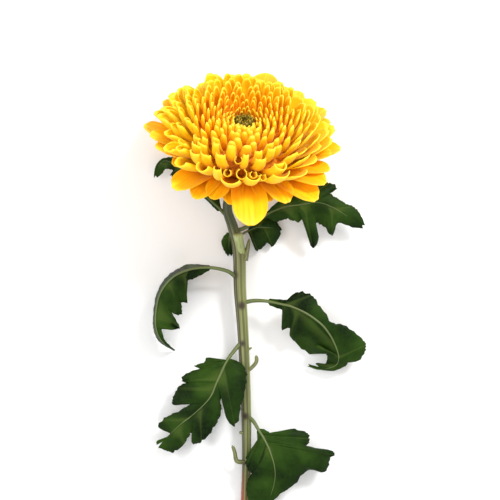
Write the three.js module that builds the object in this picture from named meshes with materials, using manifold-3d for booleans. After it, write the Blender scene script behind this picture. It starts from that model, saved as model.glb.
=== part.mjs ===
// A cut cremon chrysanthemum lying on a table: one large yellow bloom on a ridged stem with seven lobed leaves.
// Millimetres. +Z is up from the table, +Y runs along the stem towards the bloom. The bloom lies on the rim
// of its lowest petals, with its face tilted up, and the stem rests on its cut end.
import * as THREE from "three";
import { mergeVertices } from "three/addons/utils/BufferGeometryUtils.js";
import Module from "manifold-3d";

const wasm = await Module();
wasm.setup();

// From the middle of the plant's box to the point that the places below are given from.
const ORIGIN = new THREE.Vector3(-3.1, 44.1, 0);
const FIT_GAP = 0.3; // between pieces that grow on each other
const TABLE_Z = 0.12; // what lies on the table is pressed flat down to here
const PRESS_DEPTH = 2.5; // a blade that comes lower than this bends to lie along the table
const PRESS_FLOOR = 0.3; // and its middle stays above this

// The bloom's axis leans up from the table and a little to the right.
const BLOOM_BASE = new THREE.Vector3(-6.3, 51.8, 31);
const BLOOM_RISE = THREE.MathUtils.degToRad(40);
const BLOOM_LEAN = THREE.MathUtils.degToRad(7);
const BLOOM_RADIUS = 59;
const FLORETS = 186;
const FLORET_INNER_RADIUS = 8.5;
const FLORET_OUTER_RADIUS = 53.5;
const FLORET_WIDENING = 1.3; // fewer florets than life, each wider by this
const PETAL_THICKNESS = 0.9;
const GOLDEN_ANGLE = Math.PI * (3 - Math.sqrt(5));

const EYE_FLORETS = 18;
// Radians that the bracts are turned by about the bloom's axis.
const BRACT_TURN = 0.16;
const BRACTS_PER_ROW = 9;
const BRACT_THICKNESS = 0.8;
const LEAF_THICKNESS = 0.8;
const STEM_SIDES = 12;
const STEM_STEPS = 30;
const STEM_RIDGE = 0.06; // share of the radius
const SLIVER = 0.05; // shorter edges than this are closed up after fusing

const COLOURS = { petals: 0xf9b806, eye: 0x9a8a1c, calyx: 0x57702a, stem: 0x7c8a3a, leaf: 0x2b4a1c };

// How the florets change from the eye out to the rim, by the radius of the tip. Angles are from the axis.
const FLORET_PROFILE = [
  { radius: 8, height: 34, halfWidth: 1.4, rootAngle: 5, tipAngle: -50, roll: 1.4 },
  { radius: 14, height: 37, halfWidth: 1.8, rootAngle: 15, tipAngle: -38, roll: 1.4 },
  { radius: 22, height: 39.2, halfWidth: 2.3, rootAngle: 28, tipAngle: -25, roll: 1.3 },
  { radius: 30, height: 39.2, halfWidth: 2.8, rootAngle: 42, tipAngle: -12, roll: 1.2 },
  { radius: 38, height: 37, halfWidth: 3.4, rootAngle: 55, tipAngle: 2, roll: 1.1 },
  { radius: 45, height: 32.6, halfWidth: 4.4, rootAngle: 66, tipAngle: 20, roll: 1 },
  { radius: 52, height: 27, halfWidth: 5.8, rootAngle: 76, tipAngle: 42, roll: 0.75 },
  { radius: 59, height: 20, halfWidth: 7.4, rootAngle: 85, tipAngle: 66, roll: 0.55 },
];

// The widest petals, round the rim: degrees round the axis, reach, height of the tip, half width.
const GUARD_PETALS = [
  [3, 59, 19, 7.5], [14, 56, 22, 7], [27, 58, 20, 7], [37, 60, 20, 7], [46, 58, 20, 7], [58, 60, 20, 7],
  [69, 61, 20, 7], [82, 67, 19, 9], [93, 61, 19, 7], [101, 61, 19, 7], [111, 59, 19, 7], [123, 56, 20, 7],
  [133, 57, 20, 7], [142, 56, 20, 7], [151, 57, 20, 6.5], [160, 54, 19, 7], [180, 59, 19, 7.5], [189, 55, 18, 7],
  [199, 53, 19, 7], [209, 50, 18, 7], [219, 48, 16, 7], [231, 57, 8, 8], [242, 51, 6, 7], [254, 47, 5, 7],
  [267, 46, 5, 6], [282, 60, 0, 10], [298, 45, 6, 7], [309, 51, 5, 8], [323, 60, 8, 9], [333, 59, 13, 8],
  [341, 56, 17, 7], [351, 54, 20, 7], [54, 61, 6, 7], [122, 60, 7, 7],
];

// The mass of floret bodies inside the bloom, with a hollow for the eye: radius and height.
const CORE_PROFILE = [
  [0, 3], [10, 3], [22, 8], [30, 13], [33, 18], [32, 22.5], [27, 26.5], [20, 28.6], [13, 29], [7.5, 28.6], [7, 28.2],
  [0, 28.2],
];
const EYE_PROFILE = [[0, 28.6], [5.6, 28.6], [5.6, 29.6], [4, 31], [0, 31.8]];
const CALYX_PROFILE = [[0, -5.5], [4.2, -5.5], [6, -3.5], [8.6, -1], [9.8, 1.5], [9.6, 2.7], [0, 2.7]];

// The stem's centre line from the calyx down to the cut, and its radius.
const STEM_LINE = [
  { at: [-7, 46.6, 26.6], radius: 3.6 },
  { at: [-10.8, 36.5, 20.4], radius: 3 },
  { at: [-13.6, 25, 16], radius: 2.8 },
  { at: [-10.4, 14.2, 13.8], radius: 3.2 },
  { at: [-6.6, 0, 12.6], radius: 3.9 },
  { at: [-5.9, -24, 11.3], radius: 3.8 },
  { at: [-4.4, -46, 10.2], radius: 3.4 },
  { at: [-3.1, -72, 9], radius: 3.2 },
  { at: [-2.1, -101.4, 7.4], radius: 3 },
  { at: [-2.1, -130, 5.8], radius: 2.7 },
  { at: [-2.8, -156, 4.5], radius: 2.7 },
  { at: [-3.2, -197, 2.7], radius: 2.8 },
];
// Shoots and scars on the stem: from, to, radius at each end.
const STEM_SHOOTS = [
  { from: [-5, -2, 13.5], to: [-7.8, 10.2, 18.6], radii: [2.2, 2.9] },
  { from: [-3.4, -6, 12.5], to: [-0.4, 7, 13.5], radii: [2.2, 0.7] },
  { from: [-2.4, -74, 9.5], to: [3.6, -64.5, 12], radii: [1.3, 1.2] },
  { from: [-2.4, -60.5, 11], to: [1.2, -59, 11.5], radii: [1, 0.5] },
  { from: [-3, -128.5, 6.5], to: [-8.4, -127.5, 8.5], radii: [1.6, 1.1] },
  { from: [-7.9, -128.3, 8], to: [-10.8, -118, 11], radii: [1.1, 0.9] },
  { from: [-3, -111, 7.5], to: [-6.6, -110.4, 8.5], radii: [0.9, 0.9] },
];

// Leaves: the rib from the stem to the tip, the droop of each half in degrees, and each half's edge as it is
// seen from straight above. Left is as seen when walking from the stem to the tip.
const LEAVES = {
  leaf_top_right: {
    rib: [[-9.5, 11, 13.2], [-3, 13.5, 14.4], [5, 18, 15.2], [12, 22.4, 16], [21, 26, 17], [30, 27.2, 17.4],
      [40.2, 28.6, 17.4], [49.2, 26, 16.6], [60.4, 19.2, 14], [68.5, 14.6, 10.5]],
    droop: [10, 18],
    left: [[9.6, 22.2], [17, 29], [25, 33], [36, 34.5], [43, 40.5], [48, 40.5], [52.5, 37], [48, 34], [57, 28.4],
      [62, 26], [66.5, 21.5], [69.5, 15]],
    right: [[10.4, 19.8], [15.6, 17.4], [22, 18.6], [28, 17.2], [34, 18.3], [37.5, 15], [36.6, 4], [38.5, 1.5],
      [41.2, 6], [39.8, 16.5], [45, 14], [49.6, 8.6], [53, 16.4], [61, 14], [68.4, 13.2]],
  },
  leaf_top_left: {
    rib: [[-11.2, 16.8, 13.8], [-18, 24.6, 15.2], [-27, 33, 15.2], [-34.2, 41.4, 14.8], [-40.8, 48, 14],
      [-46.8, 52.5, 13], [-52.2, 53.7, 11.4], [-55.8, 50.2, 9], [-57.4, 44.6, 5.4]],
    droop: [8, 8],
    left: [[-19.6, 23.4], [-25, 29], [-29.5, 33], [-33, 36.5], [-39, 42], [-44, 43.5], [-48, 45], [-46, 48],
      [-50.5, 49], [-53.5, 46.4], [-56.4, 44]],
    right: [[-17.6, 26], [-20, 34], [-25, 40], [-31, 46], [-35, 53], [-42, 56.6], [-48.5, 56], [-52.8, 55.2],
      [-56.4, 52], [-57.8, 48], [-58.2, 44]],
  },
  leaf_top_back: {
    rib: [[-7.6, 7.4, 11.4], [-3, 10.6, 9], [3, 13.2, 7.6], [9, 13.8, 6.6], [14.5, 13, 5.8], [19, 11.4, 5]],
    droop: [4, 4],
    left: [[-0.6, 13.4], [3, 18], [10, 20], [15.5, 17.6], [19.4, 12.2]],
    right: [[0, 10.2], [1.8, 4.5], [4.5, -0.8], [11, 4.4], [13.8, 2.4], [17, 6.6], [18.8, 10.2]],
  },
  leaf_top_small: {
    rib: [[-10.8, 12.5, 11.6], [-12.4, 8.4, 7.2], [-12.8, 2, 4.6], [-12.4, -3, 2.6]],
    droop: [4, 4],
    left: [[-10.8, 8], [-9.2, 4], [-9.4, 0], [-11.4, -3.6]],
    right: [[-14, 10.6], [-17, 6], [-16.8, 2], [-15, -1.4], [-13.2, -3.8]],
  },
  leaf_mid_left: {
    rib: [[-8.4, -16.4, 12], [-13.2, -12.9, 15], [-21.6, -10.8, 18.5], [-30, -10.8, 20.5], [-37.8, -12.3, 21.5],
      [-45, -15.6, 22], [-50.7, -21, 21.5], [-54.6, -28.2, 20.5], [-56.4, -36.6, 19], [-56.7, -45, 17],
      [-55, -51.8, 14.5], [-51.6, -56.4, 12], [-46.2, -60, 8]],
    droop: [6, 80],
    left: [[-24.6, -12.3], [-33.4, -16.8], [-39, -19.8], [-37.8, -30.6], [-41.8, -31.6], [-40.8, -36.6],
      [-42.8, -39.2], [-47.4, -37.8], [-42.6, -46], [-43.8, -47.6], [-48, -48], [-52.9, -45], [-52.2, -52.8],
      [-49.2, -57], [-45.4, -60.8]],
    right: [[-24.6, -9.3], [-37.2, -8.9], [-42, -10.6], [-47.4, -13.8], [-52.2, -18.6], [-56.1, -25.6],
      [-57.9, -34], [-58.6, -43], [-57.8, -51], [-54.6, -56], [-46, -61.4]],
  },
  leaf_mid_right: {
    rib: [[-5, -32.2, 11], [2, -30.6, 13], [10.1, -30.8, 15], [18, -32.3, 17.4], [26.2, -34.4, 19], [34.2, -38.2, 20],
      [42.2, -44, 20], [46.5, -48.8, 19.5], [50.3, -55.2, 18], [53.4, -63.4, 14], [52.4, -69.4, 9.6],
      [46.6, -72, 6.6], [40.6, -72.4, 5], [35.6, -70.6, 4.4]],
    droop: [8, 24],
    left: [[12, -29.3], [23.2, -30], [26.2, -26.4], [30.4, -25.2], [36.8, -27.4], [42.2, -33.8], [49.2, -43.5],
      [55.6, -45], [67.8, -53.7], [69.6, -57.4], [68.4, -63.3], [64.8, -67.2], [61.6, -63.8], [58.6, -69.2],
      [49.2, -73.2], [35, -70.6]],
    right: [[12, -33.4], [19.8, -36], [21.8, -38.2], [19.2, -47.3], [25.6, -46.8], [24, -51.6], [32.4, -60.6],
      [39, -63], [39.6, -57.6], [45.4, -60.6], [47, -65.4], [45.4, -69.2], [40, -69], [42, -71.2], [35.4, -69.4]],
  },
  leaf_low_left: {
    rib: [[-5.4, -56, 10], [-10.2, -61.6, 13.4], [-14.3, -67.5, 15.8], [-19.5, -78.5, 18], [-24.1, -88.8, 18.4],
      [-33.9, -98.7, 16.6], [-43.2, -106.2, 13.6], [-54, -117.2, 8]],
    droop: [3, 10],
    left: [[-12.9, -68.1], [-11.1, -65.8], [-4.5, -69.2], [-2.4, -73.8], [-2.8, -80.8], [-5.7, -95.8],
      [-9.1, -105.8], [-14.3, -100.6], [-15.7, -88.3], [-18.2, -90.9], [-17.2, -95.8], [-19.5, -103.3],
      [-24.7, -110.8], [-29.3, -115.4], [-34.8, -116.5], [-33.3, -110.4], [-36.2, -111.3], [-39.7, -117.1],
      [-46, -122.3], [-51.2, -121.2], [-55.6, -119.4]],
    right: [[-15.8, -66.8], [-25.3, -65], [-27.6, -67.5], [-33.3, -69.8], [-30.2, -71.8], [-38.5, -74.4],
      [-41.1, -79], [-37.4, -79.8], [-43.7, -83.1], [-46.4, -90], [-45.5, -93.5], [-34.5, -87.9], [-35.7, -92.7],
      [-44.9, -98.1], [-52.4, -102.5], [-55.3, -107.3], [-47.4, -111.6], [-55.8, -115.4], [-56.6, -118]],
  },
  leaf_low_right: {
    rib: [[-1.8, -100.6, 7.8], [1.8, -103.2, 11], [5.2, -108.4, 14.4], [9, -114.6, 16], [12.3, -121.8, 16.4],
      [14.7, -130.2, 16], [15, -138, 15], [12.6, -147.6, 13], [7.8, -159.4, 9.6]],
    droop: [9, 3],
    left: [[8.6, -108], [13.4, -111], [19, -110.2], [25, -108], [33.6, -110.2], [36, -114], [35.3, -118.6],
      [48.4, -121.2], [51, -124.2], [48.4, -125.4], [45, -134.1], [35.4, -132.6], [26.4, -141.4], [17.4, -148],
      [10.8, -154.8], [8.4, -160.4]],
    right: [[4.2, -109.6], [4.7, -119.4], [0.6, -120.6], [-1.8, -124.2], [-2.2, -129], [1.1, -135], [4.8, -133.2],
      [0, -137.8], [-2.2, -145.2], [0, -153.6], [3.6, -156.8], [6.6, -160.6]],
  },
};
const PETIOLE_RADIUS = 1.7;
const RIB_TIP_RADIUS = 0.55;
const RIB_SHARE = 0.8; // of the leaf's length that stands out as a rib
const VEIN_SLANT = 0.9; // how far back on the rib a side vein starts, by the distance out to its lobe
const RIB_SAMPLES = 100;

// A repeatable draw between -1 and 1 for the item of that number.
function jitter(number, kind) {
  const wave = Math.sin(number * 12.9898 + kind * 78.233) * 43758.5453;
  return 2 * (wave - Math.floor(wave)) - 1;
}

function profileAt(radius) {
  const last = FLORET_PROFILE.length - 1;
  let i = 0;
  while (i < last - 1 && radius > FLORET_PROFILE[i + 1].radius) i += 1;
  const low = FLORET_PROFILE[i];
  const high = FLORET_PROFILE[i + 1];
  const share = (radius - low.radius) / (high.radius - low.radius);
  const found = {};
  for (const key of Object.keys(low)) found[key] = low[key] + (high[key] - low[key]) * share;
  return found;
}

// The bloom's own axes: out along its face to the right, down the face towards the table, and up its axis.
const axisOut = new THREE.Vector3(Math.cos(BLOOM_LEAN), -Math.sin(BLOOM_LEAN), 0);
const axisUp = new THREE.Vector3(
  Math.sin(BLOOM_LEAN) * Math.cos(BLOOM_RISE),
  Math.cos(BLOOM_LEAN) * Math.cos(BLOOM_RISE),
  Math.sin(BLOOM_RISE),
);
const axisDown = new THREE.Vector3().crossVectors(axisUp, axisOut);

function inBloom(radial, across, height, azimuth) {
  const c = Math.cos(azimuth);
  const s = Math.sin(azimuth);
  return BLOOM_BASE.clone()
    .addScaledVector(axisOut, radial * c - across * s)
    .addScaledVector(axisDown, radial * s + across * c)
    .addScaledVector(axisUp, height);
}

// How far a blade is lifted that would otherwise go under the table.
function liftAt(z) {
  const room = PRESS_DEPTH - PRESS_FLOOR;
  return z < PRESS_DEPTH ? PRESS_FLOOR + room * Math.exp((z - PRESS_DEPTH) / room) - z : 0;
}

function solidOf(geometry, mergeDistance = 1e-4) {
  const bare = geometry.clone();
  bare.deleteAttribute("normal");
  bare.deleteAttribute("uv");
  const merged = mergeVertices(bare, mergeDistance);
  const wrapped = (triangles) =>
    new wasm.Manifold(
      new wasm.Mesh({
        numProp: 3,
        vertProperties: merged.attributes.position.array,
        triVerts: new Uint32Array(triangles),
      }),
    );
  const solid = wrapped(merged.index.array);
  return solid.volume() < 0 ? wrapped(merged.index.array.slice().reverse()) : solid;
}

function geometryOf(solid) {
  const mesh = solid.getMesh();
  return new THREE.BufferGeometry()
    .setAttribute("position", new THREE.BufferAttribute(mesh.vertProperties, 3))
    .setIndex(new THREE.BufferAttribute(mesh.triVerts, 1));
}

// Corners of two folds that meet at one point draw back a little, each along its own fold.
function unpinched(geometry) {
  const { position } = geometry.attributes;
  const index = geometry.index.array;
  const corner = (i) => new THREE.Vector3().fromBufferAttribute(position, i);
  const places = new Map();
  for (let i = 0; i < position.count; i += 1) {
    const place = corner(i).multiplyScalar(1000).round().toArray().join();
    places.set(place, [...(places.get(place) ?? []), i]);
  }
  const pinched = new Map();
  const drawn = new Map();
  for (const corners of places.values()) {
    if (corners.length < 2) continue;
    corners.forEach((i, rank) => {
      pinched.set(i, new THREE.Vector3());
      drawn.set(i, SLIVER * (1 + rank / 2));
    });
  }
  for (let t = 0; t < index.length; t += 3) {
    for (let k = 0; k < 3; k += 1) {
      const fold = pinched.get(index[t + k]);
      if (fold) fold.add(corner(index[t + ((k + 1) % 3)])).sub(corner(index[t + k]));
    }
  }
  for (const [i, fold] of pinched) {
    const to = corner(i).addScaledVector(fold.normalize(), drawn.get(i));
    position.setXYZ(i, to.x, to.y, to.z);
  }
  return geometry;
}

// The outermost skin of a fused solid: loose scraps are dropped and the pockets sealed inside are filled.
function outerBody(solid) {
  let body = solid;
  for (let pass = 0; pass < 3; pass += 1) {
    const bodies = solidOf(unpinched(geometryOf(body)), 1e-3).simplify(SLIVER).decompose();
    body = bodies.reduce((best, next) => (next.volume() > best.volume() ? next : best));
  }
  return unpinched(geometryOf(body));
}

// Moves each vertex of a geometry to where the function puts it.
function reshaped(geometry, place) {
  const position = geometry.attributes.position;
  const from = new THREE.Vector3();
  for (let i = 0; i < position.count; i += 1) {
    const to = place(from.fromBufferAttribute(position, i));
    position.setXYZ(i, to.x, to.y, to.z);
  }
  return geometry;
}

const smoothStep = (x) => {
  const t = THREE.MathUtils.clamp(x, 0, 1);
  return t * t * (3 - 2 * t);
};

// A petal's share of its full width along its length: a narrow claw, a wide blade and a rounded tip.
function petalOutline(along) {
  const claw = 0.4 + 0.6 * smoothStep(along / 0.6);
  const past = Math.max(0, (along - 0.72) / 0.28);
  return claw * (0.22 + 0.78 * Math.sqrt(Math.max(0, 1 - past ** 2.4)));
}

// A petal from its root on the receptacle to its tip, rolled into a channel that opens to the axis.
function petal(shape) {
  const { azimuth, radius, height, halfWidth, rootAngle, tipAngle, roll, root, sides, steps } = shape;
  const { from = 0, thickness = PETAL_THICKNESS } = shape;
  const outness = radius / BLOOM_RADIUS;
  const start = root ?? new THREE.Vector2(2 + 7 * outness, 8 - 2.5 * outness);
  const tip = new THREE.Vector2(radius, height);
  const reach = start.distanceTo(tip) * 0.38;
  const a0 = THREE.MathUtils.degToRad(rootAngle);
  const a1 = THREE.MathUtils.degToRad(tipAngle);
  const rib = new THREE.CubicBezierCurve(
    start,
    new THREE.Vector2(start.x + reach * Math.sin(a0), start.y + reach * Math.cos(a0)),
    new THREE.Vector2(tip.x - reach * Math.sin(a1), tip.y - reach * Math.cos(a1)),
    tip,
  );
  const bar = new THREE.CylinderGeometry(1, 1, 1, sides, steps);
  return solidOf(
    reshaped(bar, (v) => {
      const share = v.y + 0.5;
      const spread = Math.hypot(v.x, v.z) < 1e-6 ? 0 : 1;
      const angle = Math.atan2(v.z, v.x);
      const along = from + (1 - from) * (1 - (1 - share) ** 1.6);
      const middle = rib.getPoint(along);
      const tangent = rib.getTangent(along);
      const wide = halfWidth * petalOutline(along) * spread;
      const side = Math.cos(angle) * spread;
      const lateral = (wide / roll) * Math.sin(roll * side);
      const lift = (wide / roll) * (1 - Math.cos(roll * side)) + Math.sin(angle) * thickness * 0.6 * spread;
      const to = inBloom(middle.x - tangent.y * lift, lateral, middle.y + tangent.x * lift, azimuth);
      to.z += liftAt(inBloom(middle.x, 0, middle.y, azimuth).z);
      return to;
    }),
  );
}

// The florets of the dome, wound out from the eye on the golden angle.
function domeFlorets() {
  const florets = [];
  for (let n = 0; n < FLORETS; n += 1) {
    const radius = THREE.MathUtils.lerp(FLORET_INNER_RADIUS, FLORET_OUTER_RADIUS, (n + 0.5) / FLORETS);
    const shape = profileAt(radius * (1 + 0.03 * jitter(n, 1)));
    const broad = radius > 34;
    florets.push(
      petal({
        ...shape,
        azimuth: n * GOLDEN_ANGLE,
        radius,
        height: shape.height + 0.9 * jitter(n, 2),
        halfWidth: shape.halfWidth * FLORET_WIDENING,
        roll: broad ? shape.roll : 1.2,
        sides: broad ? 4 : 3,
        steps: broad ? 4 : 3,
        from: broad ? 0.2 : 0.35,
      }),
    );
  }
  return florets;
}

// A petal that hangs lower than the rim also turns its tip down.
function guardPetals() {
  return GUARD_PETALS.map(([degrees, radius, height, halfWidth], n) => {
    const rim = profileAt(BLOOM_RADIUS);
    return petal({
      ...rim,
      azimuth: THREE.MathUtils.degToRad(degrees),
      radius,
      height: height + (n % 2 ? 1 : -1),
      halfWidth,
      tipAngle: rim.tipAngle + 2.4 * (rim.height - height),
      sides: 4,
      steps: 5,
      from: 0.1,
    });
  });
}

// A solid turned about the bloom's axis.
function turned(profile, sides) {
  const outline = profile.map(([r, h]) => new THREE.Vector2(r, h));
  return solidOf(reshaped(new THREE.LatheGeometry(outline, sides), (v) => inBloom(v.z, v.x, v.y, 0)));
}

const joined = (solids) => solids.reduce((whole, solid) => whole.add(solid));

// A slab whose top is the table, to trim flat what lies on it.
function tableSlab() {
  const slab = new THREE.BoxGeometry(400, 500, 20);
  slab.translate(0, 0, TABLE_Z - 10);
  return solidOf(slab);
}

function bloomPetals() {
  return joined([turned(CORE_PROFILE, 20), ...domeFlorets(), ...guardPetals()]);
}

// The unopened florets at the centre, leaning in to each other.
function eye() {
  const florets = [];
  for (let n = 0; n < EYE_FLORETS; n += 1) {
    const radius = 0.9 + 4.2 * Math.sqrt((n + 0.5) / EYE_FLORETS);
    const azimuth = n * GOLDEN_ANGLE;
    const foot = inBloom(radius, 0, 29, azimuth);
    const tip = inBloom(radius * 0.82, 0, 34.2 + 0.6 * jitter(n, 6), azimuth);
    florets.push(rod([foot, tip], (share) => THREE.MathUtils.lerp(1.1, 0.7, share), 6, 1));
  }
  return joined([turned(EYE_PROFILE, 12), ...florets]);
}

// The green cup under the bloom, with two rows of overlapping bracts.
function calyx() {
  const bracts = [];
  for (let n = 0; n < 2 * BRACTS_PER_ROW; n += 1) {
    const outer = n % 2;
    bracts.push(
      petal({
        azimuth: (n * Math.PI) / BRACTS_PER_ROW + BRACT_TURN,
        radius: outer ? 13 : 15.4,
        height: outer ? 1 : 3.1,
        halfWidth: 2.7,
        rootAngle: 70,
        tipAngle: 58,
        roll: 0.3,
        root: new THREE.Vector2(outer ? 5.5 : 7.5, outer ? -3.2 : -1.2),
        sides: 4,
        steps: 3,
        thickness: BRACT_THICKNESS,
      }),
    );
  }
  return joined([turned(CALYX_PROFILE, 16), ...bracts]);
}

const vector = (place) => new THREE.Vector3(...place);

// A round or ridged rod along a smooth line, with its radius given by the share of its length.
function rod(points, radiusAt, sides, steps, ridge = 0) {
  const line = new THREE.CatmullRomCurve3(points);
  const frames = line.computeFrenetFrames(steps, false);
  const shape = new THREE.CylinderGeometry(1, 1, 1, sides, steps);
  return solidOf(
    reshaped(shape, (v) => {
      const row = Math.round((v.y + 0.5) * steps);
      const angle = Math.atan2(v.z, v.x);
      const radius = radiusAt(row / steps) * Math.hypot(v.x, v.z) * (1 + ridge * Math.cos((sides / 2) * angle));
      return line
        .getPointAt(row / steps)
        .addScaledVector(frames.normals[row], -radius * Math.cos(angle))
        .addScaledVector(frames.binormals[row], radius * Math.sin(angle));
    }),
  );
}

// The stem's radius at a share of its length, between the stations of its line.
function stemRadius(share) {
  const line = new THREE.CatmullRomCurve3(STEM_LINE.map(({ at }) => vector(at)));
  const y = line.getPointAt(share).y;
  let i = 0;
  while (i < STEM_LINE.length - 2 && y < STEM_LINE[i + 1].at[1]) i += 1;
  const [high, low] = [STEM_LINE[i], STEM_LINE[i + 1]];
  return high.radius + ((low.radius - high.radius) * (y - high.at[1])) / (low.at[1] - high.at[1]);
}

function stemRod(extra = 0) {
  return rod(STEM_LINE.map(({ at }) => vector(at)), (share) => stemRadius(share) + extra, STEM_SIDES, STEM_STEPS,
    extra ? 0 : STEM_RIDGE);
}

function stem() {
  const shoots = STEM_SHOOTS.map(({ from, to, radii }) =>
    rod([vector(from), vector(to)], (share) => THREE.MathUtils.lerp(radii[0], radii[1], share), 6, 1),
  );
  return joined([stemRod(), ...shoots]);
}

// The edge of one half of a leaf in space, and for each corner the place on the rib where its vein starts.
function leafHalf(line, edge, droop, turn) {
  const length = line.getLength();
  const fall = Math.tan(THREE.MathUtils.degToRad(droop));
  let start = 0;
  return edge.map(([x, y]) => {
    let share = 0;
    let out = Infinity;
    for (let i = 0; i <= RIB_SAMPLES; i += 1) {
      const { x: ribX, y: ribY } = line.getPointAt(i / RIB_SAMPLES);
      const gap = Math.hypot(x - ribX, y - ribY);
      if (gap < out) [share, out] = [i / RIB_SAMPLES, gap];
    }
    start = Math.max(start, share * length - VEIN_SLANT * out);
    const foot = line.getPointAt(share);
    const point = new THREE.Vector3(x, y, foot.z - out * fall);
    const normal = new THREE.Vector3().crossVectors(line.getTangentAt(share), point.clone().sub(foot));
    return { point, normal: normal.normalize().multiplyScalar(turn), start };
  });
}

// A thin blade: columns run from the left edge over the rib to the right edge, rows from the stem to the tip.
function leafBlade({ rib, droop, left, right }) {
  const line = new THREE.CatmullRomCurve3(rib.map(vector));
  const halves = [leafHalf(line, left, droop[0], 1), leafHalf(line, right, droop[1], -1)];
  const rows = Math.max(left.length, right.length);
  const sheet = new THREE.PlaneGeometry(1, 1, 2, rows - 1);
  const count = sheet.attributes.position.count;
  const corners = new Float32Array(count * 6);
  for (let row = 0; row < rows; row += 1) {
    const [l, r] = halves.map((half) => half[Math.round((row * (half.length - 1)) / (rows - 1))]);
    const root = line.getPointAt(Math.min(1, (l.start + r.start) / 2 / line.getLength()));
    const bisector = l.normal.clone().add(r.normal);
    const middle = { point: root, normal: bisector.multiplyScalar(2 / bisector.lengthSq()) };
    [l, middle, r].forEach(({ point, normal }, column) => {
      const i = row * 3 + column;
      const lifted = point.clone().setZ(point.z + liftAt(point.z));
      lifted.clone().addScaledVector(normal, LEAF_THICKNESS / 2).toArray(corners, i * 3);
      lifted.clone().addScaledVector(normal, -LEAF_THICKNESS / 2).toArray(corners, (count + i) * 3);
    });
  }
  const faces = [];
  const top = sheet.index.array;
  for (let t = 0; t < top.length; t += 3) {
    faces.push(top[t + 2], top[t + 1], top[t]);
    faces.push(count + top[t], count + top[t + 1], count + top[t + 2]);
  }
  const rim = [];
  for (let column = 0; column < 3; column += 1) rim.push(column);
  for (let row = 1; row < rows; row += 1) rim.push(row * 3 + 2);
  for (let column = 1; column >= 0; column -= 1) rim.push((rows - 1) * 3 + column);
  for (let row = rows - 2; row > 0; row -= 1) rim.push(row * 3);
  rim.forEach((a, k) => {
    const b = rim[(k + 1) % rim.length];
    faces.push(count + a, count + b, b, count + a, b, a);
  });
  const blade = new THREE.BufferGeometry().setAttribute("position", new THREE.BufferAttribute(corners, 3));
  blade.setIndex(faces);
  return solidOf(blade);
}

function leafRib({ rib }) {
  const line = new THREE.CatmullRomCurve3(rib.map(vector));
  const points = [];
  for (let i = 0; i <= rib.length; i += 1) points.push(line.getPointAt((RIB_SHARE * i) / rib.length));
  return rod(points, (share) => THREE.MathUtils.lerp(PETIOLE_RADIUS, RIB_TIP_RADIUS, share ** 0.6), 5, rib.length);
}

const group = new THREE.Group();
group.position.copy(ORIGIN).setZ(-TABLE_Z);

function addPiece(name, solid, colour, roughness) {
  const material = new THREE.MeshStandardMaterial({ color: colour, roughness, metalness: 0 });
  const mesh = new THREE.Mesh(outerBody(solid.subtract(tableSlab())), material);
  mesh.name = name;
  group.add(mesh);
}

addPiece("petals", bloomPetals(), COLOURS.petals, 0.6);
addPiece("eye", eye(), COLOURS.eye, 0.7);
addPiece("calyx", calyx(), COLOURS.calyx, 0.7);
addPiece("stem", stem(), COLOURS.stem, 0.6);
const stemRoom = stemRod(FIT_GAP + STEM_RIDGE * 4.2);
for (const [name, leaf] of Object.entries(LEAVES)) {
  addPiece(name, leafBlade(leaf).add(leafRib(leaf)).subtract(stemRoom), COLOURS.leaf, 0.55);
}

export default group;
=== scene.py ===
import math

import bmesh
import bpy
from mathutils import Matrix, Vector


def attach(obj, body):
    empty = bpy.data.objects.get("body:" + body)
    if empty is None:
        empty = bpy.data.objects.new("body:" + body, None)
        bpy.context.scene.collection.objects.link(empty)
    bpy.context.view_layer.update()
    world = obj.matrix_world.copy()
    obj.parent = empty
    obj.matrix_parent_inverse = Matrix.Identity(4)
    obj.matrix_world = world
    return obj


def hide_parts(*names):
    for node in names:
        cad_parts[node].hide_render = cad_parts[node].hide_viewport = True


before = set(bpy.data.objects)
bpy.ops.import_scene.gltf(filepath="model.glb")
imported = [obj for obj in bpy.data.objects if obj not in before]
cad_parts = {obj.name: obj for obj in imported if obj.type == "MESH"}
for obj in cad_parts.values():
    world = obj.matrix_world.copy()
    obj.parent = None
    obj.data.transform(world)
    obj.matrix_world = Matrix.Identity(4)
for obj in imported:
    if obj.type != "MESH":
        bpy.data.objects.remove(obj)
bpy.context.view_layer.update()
print("frame loaded,", len(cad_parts), "nodes")

scene = bpy.context.scene
scene.view_settings.view_transform = "Standard"

# Places are written in millimetres from the middle of the view, x to the right, y up the flower, z up from
# the table. toWorld turns them into the frame's metres.
mm = 0.001
viewOrigin = Vector((-3.1, 44.1, -0.12))
golden = math.pi * (3 - math.sqrt(5))

bloom = {"base": Vector((-6.3, 51.8, 31)), "rise": 40, "lean": 7, "radius": 59}
press = {"depth": 2.5, "floor": 0.45}


def toWorld(point):
    return (Vector(point) + viewOrigin) * mm


def jitter(number, kind):
    wave = math.sin(number * 12.9898 + kind * 78.233) * 43758.5453
    return 2 * (wave - math.floor(wave)) - 1


# Values for one floret, from their middle, how much they vary and the number of their jitter.
def varied(n, table):
    return {key: middle + spread * jitter(n, kind) for key, (middle, spread, kind) in table.items()}


def smoothStep(x):
    t = min(1, max(0, x))
    return t * t * (3 - 2 * t)


def mix(a, b, share):
    return a + (b - a) * share


rise, lean = math.radians(bloom["rise"]), math.radians(bloom["lean"])
axisOut = Vector((math.cos(lean), -math.sin(lean), 0))
axisUp = Vector((math.sin(lean) * math.cos(rise), math.cos(lean) * math.cos(rise), math.sin(rise)))
axisDown = axisUp.cross(axisOut)


def inBloom(radial, across, height, azimuth):
    c, s = math.cos(azimuth), math.sin(azimuth)
    return (bloom["base"] + axisOut * (radial * c - across * s)
            + axisDown * (radial * s + across * c) + axisUp * height)


# How far a blade is lifted that would otherwise go under the table.
def liftAt(z):
    room = press["depth"] - press["floor"]
    if z >= press["depth"]:
        return 0
    return press["floor"] + room * math.exp((z - press["depth"]) / room) - z


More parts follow.
